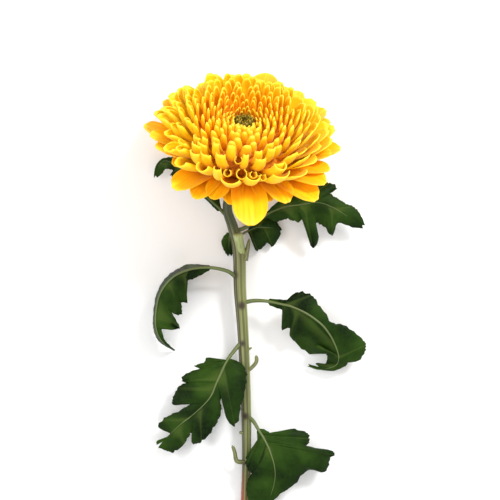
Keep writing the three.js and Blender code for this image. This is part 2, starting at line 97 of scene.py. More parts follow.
def bezier(points, t):
    u = 1 - t
    weights = (u ** 3, 3 * u * u * t, 3 * u * t * t, t ** 3)
    slopes = (-3 * u * u, 3 * u * u - 6 * u * t, 6 * u * t - 3 * t * t, 3 * t * t)
    place, slope = (Vector([sum(w * p[axis] for w, p in zip(shares, points)) for axis in (0, 1)])
                    for shares in (weights, slopes))
    return place, slope.normalized()


# A smooth line through the points, with the same number of steps in each span.
def smoothLine(points, steps):
    points = [Vector(p) for p in points]
    ends = [2 * points[0] - points[1], *points, 2 * points[-1] - points[-2]]
    line = []
    for i in range(len(points) - 1):
        a, b, c, d = ends[i:i + 4]
        for k in range(steps):
            t = k / steps
            line.append(0.5 * (2 * b + (c - a) * t + (2 * a - 5 * b + 4 * c - d) * t * t
                               + (3 * b - a - 3 * c + d) * t ** 3))
    line.append(points[-1])
    return line


# The same line with its points spaced evenly.
def evenly(line, count):
    lengths = [0]
    for a, b in zip(line, line[1:]):
        lengths.append(lengths[-1] + (b - a).length)
    spaced, i = [], 0
    for k in range(count + 1):
        want = lengths[-1] * k / count
        while i < len(line) - 2 and lengths[i + 1] < want:
            i += 1
        span = lengths[i + 1] - lengths[i]
        spaced.append(line[i].lerp(line[i + 1], (want - lengths[i]) / span if span else 0))
    return spaced


# A shader and the settings that hold all over its surface.
def newMaterial(name, settings=()):
    material = bpy.data.materials.new(name)
    material.use_nodes = True
    tree = material.node_tree
    tree.nodes.clear()
    output = tree.nodes.new("ShaderNodeOutputMaterial")
    shader = tree.nodes.new("ShaderNodeBsdfPrincipled")
    tree.links.new(shader.outputs["BSDF"], output.inputs["Surface"])
    for socket, value in dict(settings).items():
        shader.inputs[socket].default_value = value
    return material, tree, shader


# Gives a socket its value, or a link from another node.
def feed(tree, socket, value):
    if isinstance(value, bpy.types.NodeSocket):
        tree.links.new(value, socket)
    else:
        socket.default_value = value


def addNode(tree, kind, inputs=(), **settings):
    node = tree.nodes.new("ShaderNode" + kind)
    for key, value in settings.items():
        setattr(node, key, value)
    for socket, value in dict(inputs).items():
        feed(tree, node.inputs[socket], value)
    return node


def calc(tree, operation, a, b):
    return addNode(tree, "Math", {0: a, 1: b}, operation=operation).outputs[0]


def times(tree, a, b):
    return calc(tree, "MULTIPLY", a, b)


def noise(tree, place, scale, detail):
    return addNode(tree, "TexNoise", {"Vector": place, "Scale": scale, "Detail": detail}).outputs[0]


def objectPlace(tree):
    return addNode(tree, "TexCoord").outputs["Object"]


# Where a point lies across a sheet or round a rod, and along it, both from 0 to 1.
def sheetPlace(tree):
    parts = addNode(tree, "SeparateXYZ", {0: addNode(tree, "UVMap").outputs[0]})
    return parts.outputs[0], parts.outputs[1]


# Layers of relief: what sets the height, how far it stands out in metres, and how strongly it shows.
def addRelief(tree, shader, *layers):
    under = {}
    for height, distance, strength in layers:
        inputs = {"Height": height, "Distance": distance, "Strength": strength, **under}
        under = {"Normal": addNode(tree, "Bump", inputs).outputs[0]}
    tree.links.new(under["Normal"], shader.inputs["Normal"])


def blendColour(tree, share, a, b, how="MIX"):
    node = addNode(tree, "Mix", data_type="RGBA", blend_type=how)
    for socket, value in ((0, share), (6, a), (7, b)):
        feed(tree, node.inputs[socket], (*value, 1) if isinstance(value, tuple) else value)
    return node.outputs[2]


def ramp(tree, factor, stops):
    node = addNode(tree, "ValToRGB", {0: factor})
    marks = node.color_ramp.elements
    while len(marks) < len(stops):
        marks.new(0.5)
    for mark, (place, colour) in zip(marks, stops):
        mark.position = place
        mark.color = (*colour, 1) if isinstance(colour, tuple) else (colour, colour, colour, 1)
    return node.outputs[0]


def attribute(tree, name):
    return addNode(tree, "Attribute", attribute_name=name).outputs["Fac"]


# What all petals share unless their own look says otherwise: glow, shine and softness, the run of the lines,
# how far a petal's tone moves its colours, the scale of cells and blotches, and the relief.
petalSkin = {
    "glow": (1.0, 0.66, 0.02), "gloss": 0.36, "soft": 0.12, "run": 1.6, "perTone": 37.0, "shift": 0.12,
    "cells": 900.0, "blotches": 60.0, "rougher": 0.16,
    "lineStops": [(0.36, 0.0), (0.62, 1.0)], "blotchStops": [(0.4, 0.0), (0.7, 0.22)],
    "ribHeight": 0.00035, "cellHeight": 0.00006, "cellStrength": 0.35,
    "surface": {"Sheen Weight": 0.12, "Sheen Roughness": 0.4, "Subsurface Radius": (1.0, 0.45, 0.03),
                "Subsurface Scale": 0.0018, "Specular IOR Level": 0.4},
}


# Yellow petal: deep orange at the root, golden blade, lemon tip, fine lines along its length. The deep
# orange at the root is partly the petal's own colour and partly painted shade, where the roots lie deep in
# the bloom.
def petalMaterial(name, look):
    look = {**petalSkin, **look}
    material, tree, shader = newMaterial(name, {**look["surface"], "Subsurface Weight": look["soft"]})
    across, along = sheetPlace(tree)
    tone, place = attribute(tree, "tone"), objectPlace(tree)
    lines = addNode(tree, "CombineXYZ", {
        0: times(tree, across, look["lines"]),
        1: times(tree, along, look["run"]),
        2: times(tree, tone, look["perTone"]),
    })
    grain = noise(tree, lines.outputs[0], 1.0, 3.0)
    cells = noise(tree, place, look["cells"], 3.0)
    blotch = noise(tree, place, look["blotches"], 2.0)
    shift = times(tree, calc(tree, "SUBTRACT", tone, 0.5), look["shift"])
    # Colour from root to tip: the darker orange towards the root is partly painted shade deep in the bloom.
    body = ramp(tree, calc(tree, "ADD", along, shift), look["stops"])
    body = blendColour(tree, times(tree, tone, look["deep"]), body, look["deepColour"], "MULTIPLY")
    streak = blendColour(tree, ramp(tree, grain, look["lineStops"]), look["streakColour"], (1, 1, 1))
    body = blendColour(tree, look["streak"], body, streak, "MULTIPLY")
    body = blendColour(tree, ramp(tree, blotch, look["blotchStops"]), body, look["glow"])
    tree.links.new(body, shader.inputs["Base Color"])
    rough = ramp(tree, grain, [(0.3, look["gloss"]), (0.75, look["gloss"] + look["rougher"])])
    tree.links.new(rough, shader.inputs["Roughness"])
    addRelief(tree, shader, (grain, look["ribHeight"], look["ribs"]),
              (cells, look["cellHeight"], look["cellStrength"]))
    return material


def newPiece(name, mesh, material, stands=(), thickness=0, levels=0, body="root"):
    data = bpy.data.meshes.new(name)
    mesh.to_mesh(data)
    mesh.free()
    data.materials.append(material)
    data.shade_smooth()
    piece = bpy.data.objects.new(name, data)
    scene.collection.objects.link(piece)
    if thickness:
        wall = piece.modifiers.new("wall", "SOLIDIFY")
        wall.thickness, wall.offset = thickness * mm, 0
    if levels:
        smooth = piece.modifiers.new("smooth", "SUBSURF")
        smooth.levels = smooth.render_levels = levels
    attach(piece, body)
    if stands:
        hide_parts(*stands)
    print("made", name)
    return piece


def newMesh():
    mesh = bmesh.new()
    mesh.loops.layers.uv.new("UVMap")
    for name in ("tone", "vein", "spot"):
        mesh.verts.layers.float.new(name)
    return mesh


# A sheet of cells whose corners the function puts in place, from side -1..1 and along 0..1.
def addSheet(mesh, wide, long, place, **values):
    made = bmesh.ops.create_grid(mesh, x_segments=wide, y_segments=long, size=0.5, calc_uvs=True)["verts"]
    for vert in made:
        side, along = 2 * vert.co.x, vert.co.y + 0.5
        vert.co = toWorld(place(side, along))
        for name, value in values.items():
            layer = mesh.verts.layers.float[name]
            vert[layer] = value(side, along) if callable(value) else value
    return made


# A closed rod along a line of points. The function gives its radius at a share of its length and an angle.
def addRod(mesh, line, sides, radiusAt, **values):
    line = [Vector(p) for p in line]
    last = len(line) - 1

    def around(side, along):
        row = min(last, max(0, round(along * last)))
        tangent = (line[min(last, row + 1)] - line[max(0, row - 1)]).normalized()
        level = tangent.cross(Vector((0, 0, 1)))
        if level.length < 1e-3:
            level = Vector((1, 0, 0))
        level.normalize()
        over = level.cross(tangent)
        angle = math.pi * (side + 1)
        radius = radiusAt(row / last, angle)
        return line[row] + level * (radius * math.cos(angle)) + over * (radius * math.sin(angle))

    made = addSheet(mesh, sides, last, around, **values)
    bmesh.ops.remove_doubles(mesh, verts=made, dist=1e-6)
    alive = [v for v in made if v.is_valid]
    rims = [e for e in {e for v in alive for e in v.link_edges} if e.is_boundary]
    if rims:
        bmesh.ops.holes_fill(mesh, edges=rims, sides=0)
    faces = list({f for v in alive for f in v.link_faces})
    bmesh.ops.recalc_face_normals(mesh, faces=faces)
    return alive


# How a rod's end rounds off over the last part of its length, as a share of its full radius.
def roundedEnd(share, last, power, least):
    past = max(0, (share - (1 - last)) / last)
    return math.sqrt(max(least, 1 - past ** power))


# A closed body turned about the bloom's axis from radii and heights.
def addTurned(mesh, profile, sides, **values):
    ring = [mesh.verts.new(toWorld(inBloom(r, 0, h, 0))) for r, h in profile]
    edges = [mesh.edges.new(pair) for pair in zip(ring, ring[1:])]
    bmesh.ops.spin(mesh, geom=ring + edges, cent=toWorld(bloom["base"]), axis=axisUp, angle=2 * math.pi,
                   steps=sides, use_merge=True)
    bmesh.ops.remove_doubles(mesh, verts=mesh.verts[:], dist=1e-6)
    bmesh.ops.recalc_face_normals(mesh, faces=mesh.faces)
    for name, value in values.items():
        layer = mesh.verts.layers.float[name]
        for vert in mesh.verts:
            vert[layer] = value


# How the florets change from the eye out to the rim, by the radius of the tip. Angles are from the axis.
floretProfile = [
    {"radius": 8, "height": 34, "halfWidth": 1.4, "rootAngle": 5, "tipAngle": -42, "roll": 1.5},
    {"radius": 14, "height": 37, "halfWidth": 1.8, "rootAngle": 15, "tipAngle": -30, "roll": 1.5},
    {"radius": 22, "height": 39.2, "halfWidth": 2.3, "rootAngle": 28, "tipAngle": -19, "roll": 1.4},
    {"radius": 30, "height": 39.2, "halfWidth": 2.9, "rootAngle": 42, "tipAngle": -8, "roll": 1.3},
    {"radius": 38, "height": 37, "halfWidth": 3.7, "rootAngle": 55, "tipAngle": 4, "roll": 1.2},
    {"radius": 45, "height": 32.6, "halfWidth": 4.8, "rootAngle": 66, "tipAngle": 20, "roll": 1},
    {"radius": 52, "height": 27, "halfWidth": 6.2, "rootAngle": 76, "tipAngle": 42, "roll": 0.75},
    {"radius": 59, "height": 20, "halfWidth": 7.4, "rootAngle": 85, "tipAngle": 66, "roll": 0.55},
]


def profileAt(radius):
    i = 0
    while i < len(floretProfile) - 2 and radius > floretProfile[i + 1]["radius"]:
        i += 1
    low, high = floretProfile[i], floretProfile[i + 1]
    share = (radius - low["radius"]) / (high["radius"] - low["radius"])
    return {key: mix(low[key], high[key], share) for key in low}


# How every petal is drawn: its root by the eye and at the rim, how narrow its claw is and where that ends,
# where its tip begins, how far its rib bulges, and how much closer its cells stand towards the tip.
petalForm = {
    "rootRadius": (2, 9), "rootHeight": (8, 5.5), "claw": 0.4, "clawEnd": 0.6, "tipFrom": 0.7,
    "tipLong": 0.3, "tipPower": 2.2, "bulge": 0.38, "crowding": 1.35, "ridgeEnd": 0.3,
}


# A petal's share of its full width along its length: a narrow claw, a wide blade and a rounded tip.
def petalOutline(along, tipShare):
    claw = mix(petalForm["claw"], 1, smoothStep(along / petalForm["clawEnd"]))
    past = max(0, (along - petalForm["tipFrom"]) / petalForm["tipLong"])
    return claw * (tipShare + (1 - tipShare) * math.sqrt(max(0, 1 - past ** petalForm["tipPower"])))


# Where a petal's surface lies: a rib from the receptacle to the tip, rolled into a channel that opens to the
# axis, with its tip hooded, toothed or blunt.
def petalPlace(shape):
    outness = shape["radius"] / bloom["radius"]
    root = [mix(*petalForm[key], outness) for key in ("rootRadius", "rootHeight")]
    start = shape.get("root", root)
    tip = (shape["radius"], shape["height"])
    bulge = math.dist(start, tip) * petalForm["bulge"]
    a0, a1 = math.radians(shape["rootAngle"]), math.radians(shape["tipAngle"])
    rib = (start, (start[0] + bulge * math.sin(a0), start[1] + bulge * math.cos(a0)),
           (tip[0] - bulge * math.sin(a1), tip[1] - bulge * math.cos(a1)), tip)
    hood, notch, ridge = shape.get("hood", 0), shape.get("notch", 0), shape.get("ridge", 0)
    tipShare, sway = shape.get("tipShare", 0.4), shape.get("sway", 0)
    rounding = 0.5 * tipShare * shape["halfWidth"] / math.dist(start, tip) * (1 - shape.get("blunt", 0))
    azimuth, halfWidth, roll = shape["azimuth"], shape["halfWidth"], shape["roll"]

    def place(side, along):
        along = 1 - (1 - along) ** petalForm["crowding"]
        end = smoothStep((along - petalForm["tipFrom"]) / petalForm["tipLong"])
        curved = along - end * rounding * side * side
        curved -= end * notch * (0.5 + 0.5 * math.cos(3 * math.pi * side))
        middle, tangent = bezier(rib, curved)
        wide = halfWidth * petalOutline(along, tipShare)
        bend = roll * (1 + hood * end)
        lateral = wide / bend * math.sin(bend * side) + sway * along * along
        lift = wide / bend * (1 - math.cos(bend * side))
        grown = smoothStep(along / petalForm["ridgeEnd"])
        lift += ridge * math.cos(4 * math.pi * side) * grown * (1 - side * side)
        to = inBloom(middle.x - tangent.y * lift, lateral, middle.y + tangent.x * lift, azimuth)
        to.z = max(press["floor"], to.z + liftAt(inBloom(middle.x, 0, middle.y, azimuth).z))
        return to

    return place


def addPetal(mesh, shape, wide, long):
    addSheet(mesh, wide, long, petalPlace(shape), tone=shape.get("tone", 0))


petalLook = {
    "inner": {
        "stops": [(0.0, (0.75, 0.17, 0.0)), (0.5, (0.96, 0.34, 0.0)), (0.76, (1.0, 0.51, 0.001)),
                  (0.92, (1.0, 0.63, 0.006)), (1.0, (1.0, 0.74, 0.04))],
        "lines": 9.0, "deep": 0.25, "deepColour": (1.0, 0.88, 0.7), "streak": 0.25,
        "streakColour": (1, 0.8, 0.5), "ribs": 0.3,
    },
    "outer": {
        "stops": [(0.0, (0.8, 0.24, 0.0)), (0.35, (0.98, 0.47, 0.0)), (0.62, (1.0, 0.62, 0.003)),
                  (0.86, (1.0, 0.68, 0.008)), (1.0, (1.0, 0.72, 0.02))],
        "lines": 20.0, "deep": 0.2, "deepColour": (1.0, 0.9, 0.7), "streak": 0.3,
        "streakColour": (1, 0.82, 0.5), "ribs": 0.55,
    },
    "rim": {
        "stops": [(0.0, (0.75, 0.2, 0.0)), (0.35, (0.95, 0.42, 0.0)), (0.62, (1.0, 0.56, 0.002)),
                  (0.86, (1.0, 0.61, 0.006)), (1.0, (1.0, 0.68, 0.02))],
        "lines": 13.0, "deep": 0.25, "deepColour": (1.0, 0.88, 0.6), "streak": 0.6,
        "streakColour": (1, 0.66, 0.2), "glow": (1.0, 0.64, 0.015), "gloss": 0.34, "soft": 0.1, "ribs": 0.9,
    },
}
petalMaterials = {kind: petalMaterial("petal_" + kind, look) for kind, look in petalLook.items()}

# The dome's florets. The numbers in pairs, and those of turn, hold by the eye and by the rim.
dome = {
    "florets": 256, "inner": 5.2, "outer": 55, "even": 0.86, "late": 0.14, "turn": (0.05, 0.13),
    "mingle": 0.04, "rimFrom": 26, "rimOver": 18, "widthVaries": 0.14, "tipRaised": 6, "cells": (6, 8),
    "broadFrom": 32, "broadCells": (9, 10), "thickness": 0.5,
    "varied": {"tone": (0.5, 0.5, 3), "notch": (0.006, 0.008, 14)},
    "pairs": {"height": (1.1, 2.4), "hood": (0.35, 0.1), "sway": (0.6, 2.4), "tipShare": (0.5, 0.62),
              "ridge": (0, 0.16), "widen": (1.3, 1.22), "roll": (0.8, 0.9), "tipVaries": (6, 12)},
}

# Where the dome's florets differ: the middle of the zone and its reach to either side in degrees, the radius
# that it starts at, and how soft these edges are. Then what values turn into, are multiplied by and gain.
# Those at the left curl their edges up, those of the right side are broad and smooth, and those at the near
# edge are upright tongues.
zones = [
    {"middle": 200, "reach": 58, "fade": 25, "from": 30, "over": 10, "into": {"roll": (1.7, 0.5, 7)},
     "times": {"halfWidth": (1.1, 0, 0)}, "plus": {"tipAngle": (10, 0, 0)}},
    {"middle": 350, "reach": 78, "fade": 25, "from": 34, "over": 10, "into": {},
     "times": {"roll": (0.6, 0, 0), "halfWidth": (1.2, 0, 0)}, "plus": {"tipAngle": (8, 0, 0)}},
    {"middle": 270, "reach": 50, "fade": 20, "from": 30, "over": 8,
     "into": {"roll": (1.5, 0.5, 8), "tipShare": (0.92, 0, 0), "blunt": (0.6, 0, 0)},
     "times": {"halfWidth": (0.9, 0.15, 16)}, "plus": {"tipAngle": (-16, 10, 15)}},
]

# The few petals at the near edge that end in an open mouth: degrees, radius, height, radius of the mouth. No
# floret may stand in the room round them, in millimetres, with so many of them to a degree.
quills = {
    "places": [(273.5, 45, 23.5, 3.0), (282.7, 45, 24.5, 2.0), (290, 46, 23, 1.9), (269.4, 37.5, 28.5, 2.2),
               (262, 44, 23, 2.1)],
    "perDegree": 0.8, "room": 2.2, "perMouth": 0.6,
    "varied": {"roll": (2.6, 0.2, 18), "tipAngle": (40, 5, 17), "tone": (0.2, 0, 0), "notch": (0.045, 0, 0),
               "tipShare": (1.0, 0, 0), "blunt": (1, 0, 0)},
}


def turnFrom(degrees, start):
    return (degrees - start + 180) % 360 - 180


# How much a floret at that place belongs to the zone.
def zoneShare(zone, radius, degrees):
    inside = (zone["reach"] - abs(turnFrom(degrees, zone["middle"]))) / zone["fade"]
    return smoothStep(inside) * smoothStep((radius - zone["from"]) / zone["over"])


# Whether a floret would stand where a quill does.
def nearQuill(radius, degrees):
    return any(math.hypot(radius - r, quills["perDegree"] * turnFrom(degrees, d))
               < quills["room"] + quills["perMouth"] * mouth for d, r, _, mouth in quills["places"])


def domeShape(n):
    share = (n + 0.5) / dome["florets"]
    radius = mix(dome["inner"], dome["outer"], share * (dome["even"] + dome["late"] * share))
    outer = smoothStep((radius - dome["rimFrom"]) / dome["rimOver"])
    at = {key: mix(*pair, outer) for key, pair in dome["pairs"].items()}
    shape = profileAt(radius * (1 + dome["mingle"] * jitter(n, 1)))
    shape.update(varied(n, dome["varied"]), azimuth=n * golden + mix(*dome["turn"], share) * jitter(n, 9),
                 radius=radius, height=shape["height"] + at["height"] * jitter(n, 2), blunt=0,
                 sway=at["sway"] * jitter(n, 4), hood=at["hood"], tipShare=at["tipShare"], ridge=at["ridge"])
    shape["halfWidth"] *= at["widen"] + dome["widthVaries"] * jitter(n, 5)
    shape["roll"] *= at["roll"]
    shape["tipAngle"] += at["tipVaries"] * jitter(n, 6) - dome["tipRaised"] * outer
    return shape


def addZones(shape, n):
    for zone in zones:
        share = zoneShare(zone, shape["radius"], math.degrees(shape["azimuth"]) % 360)
        for key, value in varied(n, zone["into"]).items():
            shape[key] = mix(shape[key], value, share)
        for key, value in varied(n, zone["times"]).items():
            shape[key] *= mix(1, value, share)
        for key, value in varied(n, zone["plus"]).items():
            shape[key] += value * share


def quillShape(n, place):
    degrees, radius, height, mouth = place
    shape = {**profileAt(radius), **varied(n, quills["varied"])}
    shape.update(azimuth=math.radians(degrees), radius=radius, height=height,
                 halfWidth=shape["roll"] * mouth)
    return shape


near, far = newMesh(), newMesh()
florets = []
for n in range(dome["florets"]):
    shape = domeShape(n)
    if not nearQuill(shape["radius"], math.degrees(shape["azimuth"]) % 360):
        addZones(shape, n)
        florets.append(shape)
florets += [quillShape(n, place) for n, place in enumerate(quills["places"])]
for shape in florets:
    if shape["radius"] > dome["broadFrom"]:
        addPetal(far, shape, *dome["broadCells"])
    else:
        addPetal(near, shape, *dome["cells"])

# The widest petals, round the rim: degrees round the axis, reach, height of the tip, half width. Every other
# one is raised by the step and the rest are lowered. The lower a tip is, the more it bends down.
guard = {
    "cells": (10, 10), "thickness": 0.6, "smoothing": 1, "step": 1, "widen": 1.12, "level": 20, "bend": 2.4,
    "varied": {"tone": (0.5, 0.5, 11), "notch": (0.01, 0.008, 12), "sway": (0, 1.5, 13)},
    "plain": {"ridge": 0.35, "tipShare": 0.6}, "nearest": {"ridge": 0.7, "tipShare": 0.75},
    "petals": [
        (3, 59, 19, 7.5), (14, 56, 22, 7), (27, 58, 20, 7), (37, 60, 20, 7), (46, 58, 20, 7),
        (58, 60, 20, 7), (69, 61, 20, 7), (82, 67, 19, 9), (93, 61, 19, 7), (101, 61, 19, 7),
        (111, 59, 19, 7), (123, 56, 20, 7), (133, 57, 20, 7), (142, 56, 20, 7), (151, 57, 20, 6.5),
        (160, 54, 19, 7), (180, 59, 19, 7.5), (189, 55, 18, 7), (199, 53, 19, 7), (209, 50, 18, 7),
        (219, 48, 16, 7), (231, 57, 8, 8), (242, 51, 6, 7), (254, 47, 5, 7), (267, 46, 5, 6),
        (282, 60, 0, 10), (298, 45, 6, 7), (309, 51, 5, 8), (323, 60, 8, 9), (333, 59, 13, 8),
        (341, 56, 17, 7), (351, 54, 20, 7), (54, 61, 6, 7), (122, 60, 7, 7),
    ],
}
rim = newMesh()
for n, (degrees, radius, height, halfWidth) in enumerate(guard["petals"]):
    shape = profileAt(bloom["radius"])
    shape.update(varied(n, guard["varied"]), azimuth=math.radians(degrees), radius=radius,
                 height=height + (guard["step"] if n % 2 else -guard["step"]),
                 halfWidth=halfWidth * guard["widen"], **guard["plain" if height else "nearest"])
    shape["tipAngle"] += guard["bend"] * (guard["level"] - height)
    addPetal(rim, shape, *guard["cells"])

newPiece("guardPetals", rim, petalMaterials["rim"], ("petals",), guard["thickness"],
         guard["smoothing"])
newPiece("outerFlorets", far, petalMaterials["outer"], (), dome["thickness"])
newPiece("innerFlorets", near, petalMaterials["inner"], (), dome["thickness"])

# The mass of floret bodies that shows between the florets, deep orange-brown: partly the bodies' own orange
# and partly painted shade, for the gaps lie deep in the bloom.
core = {
    "profile": [(0, 3), (10, 3), (22, 8), (30, 12), (32, 16), (30, 21), (25, 24.5), (18, 26.6), (12, 27),
                (6, 27.5), (0, 27.6)],
    "sides": 48, "spots": 420.0, "stops": [(0.0, (0.9, 0.35, 0.0)), (0.7, (0.5, 0.15, 0.0))],
    "relief": (0.0006, 0.8), "surface": {"Roughness": 0.7},
}


def coreMaterial():
    material, tree, shader = newMaterial("floret_bodies_with_painted_shade", core["surface"])
    spots = addNode(tree, "TexVoronoi", {"Vector": objectPlace(tree), "Scale": core["spots"]})
    gap = spots.outputs["Distance"]
    # Darker towards the edges of its spots; the deep orange-brown is partly painted shade of the gaps
    # between the florets.
    tree.links.new(ramp(tree, gap, core["stops"]), shader.inputs["Base Color"])
    addRelief(tree, shader, (gap, *core["relief"]))
    return material


bodies = newMesh()
addTurned(bodies, core["profile"], core["sides"])
newPiece("floretBodies", bodies, coreMaterial())

# Thin olive florets on a small disc, each a rod through a foot, a waist and a tip. Heights are up the axis.
eyeLook = {
    "florets": 80, "inner": 0.5, "radius": 5.0,
    "disc": [(0, 27.4), (6, 27.4), (5.8, 28), (4.2, 28.5), (0, 28.8)],
    "discSides": 32, "discTone": 0.9, "foot": 28.4, "waist": 30.4, "waistRise": 0.8, "waistOut": 1.06,
    "varied": {"in": (0.9, 0.12, 21), "sway": (0, 0.5, 22), "tip": (32.4, 1.1, 23), "tone": (0.5, 0.5, 24)},
    "thickness": (0.34, 0.5), "sides": 6, "steps": 5, "grain": 1500.0, "relief": (0.0001, 0.6),
    "stops": [(0.0, (0.015, 0.014, 0.001)), (0.5, (0.06, 0.045, 0.003)), (0.82, (0.2, 0.14, 0.006)),
              (1.0, (0.75, 0.5, 0.02))],
    "toneShare": 0.6, "toneColour": (0.45, 0.4, 0.12), "grainStops": [(0.4, 0.0), (0.7, 0.3)],
    "grainColour": (0.3, 0.25, 0.02), "surface": {"Roughness": 0.5},
}


def eyeMaterial():
    material, tree, shader = newMaterial("eye_florets", eyeLook["surface"])
    along = sheetPlace(tree)[1]
    tone = times(tree, attribute(tree, "tone"), eyeLook["toneShare"])
    grain = noise(tree, objectPlace(tree), eyeLook["grain"], 3.0)
    body = blendColour(tree, tone, ramp(tree, along, eyeLook["stops"]), eyeLook["toneColour"], "MULTIPLY")
    body = blendColour(tree, ramp(tree, grain, eyeLook["grainStops"]), body, eyeLook["grainColour"])
    tree.links.new(body, shader.inputs["Base Color"])
    addRelief(tree, shader, (grain, *eyeLook["relief"]))
    return material


eyeMesh = newMesh()
addTurned(eyeMesh, eyeLook["disc"], eyeLook["discSides"], tone=eyeLook["discTone"])
for n in range(eyeLook["florets"]):
    radius = eyeLook["inner"] + eyeLook["radius"] * math.sqrt((n + 0.5) / eyeLook["florets"])
    azimuth = n * golden
    outer = radius / eyeLook["radius"]
    foot = inBloom(radius, 0, eyeLook["foot"], azimuth)
    rise = eyeLook["waist"] + eyeLook["waistRise"] * outer
    waist = inBloom(radius * eyeLook["waistOut"], 0, rise, azimuth)
    own = varied(n, eyeLook["varied"])
    tip = inBloom(radius * own["in"], own["sway"], own["tip"] + outer, azimuth)

    def floretSurface(share, angle, size=mix(*eyeLook["thickness"], outer)):
        return size * (0.75 + 0.5 * math.sin(math.pi * share ** 1.4)) * roundedEnd(share, 1, 4, 0.02)

    addRod(eyeMesh, evenly(smoothLine([foot, waist, tip], 4), eyeLook["steps"]), eyeLook["sides"],
           floretSurface, tone=own["tone"])
newPiece("eyeFlorets", eyeMesh, eyeMaterial(), ("eye",))


# What all green skins share. The red flush comes in low down, most at the left, and the top grows darker,
# which on the stem is painted shade under the leaves and the bloom.
# The first two numbers of each are heights up the flower in metres, where it starts and where it is full.
greenSkin = {
    "flush": (-0.088, -0.118, 1.0), "top": (0.048, 0.06, 0.8), "grain": 1400.0,
    "leftSide": [(0.0, 1.0), (0.14, 1.0), (0.22, 0.2), (0.8, 0.3), (0.92, 1.0)],
    "streakStops": [(0.35, 0.55), (0.65, 0.0)], "spot": (0.03, 0.018, 0.006),
    "streakRelief": (0.0004, 0.5), "grainRelief": (0.00008, 0.4), "surface": {"Roughness": 0.45},
}


# A green skin: its colour by the place round it, which on the stem holds a pale right side in painted light
# and a dark left side that is partly painted shade, light ridges and dark grooves, darker spots, a red flush
# low down and a darker top, which on the stem is painted shade.
def stemMaterial(name, look):
    material, tree, shader = newMaterial(name, greenSkin["surface"])
    around, along = sheetPlace(tree)
    place = objectPlace(tree)
    line = addNode(tree, "CombineXYZ", {0: times(tree, around, look["streaks"]),
                                                  1: times(tree, along, look["run"])})
    streak = noise(tree, line.outputs[0], 1.0, 4.0)
    grain = noise(tree, place, greenSkin["grain"], 2.0)
    height = addNode(tree, "SeparateXYZ", {0: place}).outputs[1]

    def band(start, full, most):
        return addNode(tree, "MapRange", {0: height, 1: start, 2: full, 3: 0.0, 4: most}).outputs[0]

    ridge = times(tree, attribute(tree, "vein"), look["ridge"])
    # Colour by the place round it: on the stem a pale right side in painted light and a left side partly in
    # painted shade.
    body = blendColour(tree, ridge, ramp(tree, around, look["round"]), look["ridgeColour"])
    body = blendColour(tree, ramp(tree, streak, greenSkin["streakStops"]), body, look["dark"])
    flush = times(tree, band(*greenSkin["flush"]), ramp(tree, around, greenSkin["leftSide"]))
    body = blendColour(tree, flush, body, look["flush"])
    # The darker top: on the stem it is painted shade under the leaves and the bloom.
    body = blendColour(tree, band(*greenSkin["top"]), body, look["top"])
    body = blendColour(tree, attribute(tree, "spot"), body, greenSkin["spot"])
    tree.links.new(body, shader.inputs["Base Color"])
    addRelief(tree, shader, (streak, *greenSkin["streakRelief"]), (grain, *greenSkin["grainRelief"]))
    return material


# The stem: places and radii from the neck down to the cut, and the dark axils with their sizes.
stemLook = {
    "line": [((-7, 46.6, 26.6), 3.6), ((-10.8, 36.5, 20.4), 3), ((-13.6, 25, 16), 2.8),
             ((-10.4, 14.2, 13.8), 3.2), ((-6.6, 0, 12.6), 3.9), ((-5.9, -24, 11.3), 3.8),
             ((-4.4, -46, 10.2), 3.4), ((-3.1, -72, 9), 3.2), ((-2.1, -101.4, 7.4), 3),
             ((-2.1, -130, 5.8), 2.7), ((-2.8, -156, 4.5), 2.7), ((-3.2, -197, 2.7), 2.7)],
    "sides": 56, "steps": 240, "ridges": 9, "ridgeHeight": 0.07, "groove": 0.6,
    "spots": [((-5, -33.5, 14.5), 2.6), ((-4.6, -56.5, 13.5), 2.0), ((-2.6, -100.5, 10.5), 2.2),
              ((-8.5, -15, 13), 2.8), ((-3.5, -129, 8), 1.6)],
    "skin": {
        "streaks": 34.0, "run": 5.0, "ridge": 0.5, "ridgeColour": (0.4, 0.42, 0.17),
        # Its top colour is painted shade under the leaves and the bloom.
        "dark": (0.03, 0.035, 0.006), "flush": (0.42, 0.04, 0.012), "top": (0.02, 0.035, 0.006),
        # round on the stem: its own green with a pale right side in painted light and a dark left side
        # partly in painted shade.
        "round": [(0.0, (0.03, 0.022, 0.005)), (0.15, (0.04, 0.03, 0.007)), (0.19, (0.3, 0.32, 0.12)),
                  (0.27, (0.1, 0.105, 0.022)), (0.36, (0.13, 0.15, 0.035)), (0.47, (0.34, 0.36, 0.16)),
                  (0.6, (0.12, 0.12, 0.03)), (0.85, (0.03, 0.022, 0.005))],
    },
}


def stemRadius(y):
    line = stemLook["line"]
    i = 0
    while i < len(line) - 2 and y < line[i + 1][0][1]:
        i += 1
    (high, big), (low, small) = line[i], line[i + 1]
    return mix(big, small, (y - high[1]) / (low[1] - high[1]))


stemSkin = stemMaterial("stem_skin", stemLook["skin"])
stemLine = evenly(smoothLine([at for at, _ in stemLook["line"]], 24), stemLook["steps"])
stemMesh = newMesh()


def ridgeWave(angle):
    return 0.5 + 0.5 * math.cos(stemLook["ridges"] * angle)


def stemSurface(share, angle):
    y = stemLine[round(share * stemLook["steps"])].y
    return stemRadius(y) * (1 + stemLook["ridgeHeight"] * (ridgeWave(angle) ** 2 - stemLook["groove"]))


stemVerts = addRod(stemMesh, stemLine, stemLook["sides"], stemSurface,
                   vein=lambda side, along: ridgeWave(math.pi * (side + 1)) ** 3)
spotLayer = stemMesh.verts.layers.float["spot"]
for vert in stemVerts:
    for at, size in stemLook["spots"]:
        gap = (vert.co - toWorld(at)).length / mm
        vert[spotLayer] = max(vert[spotLayer], math.exp(-(gap / size) ** 4))

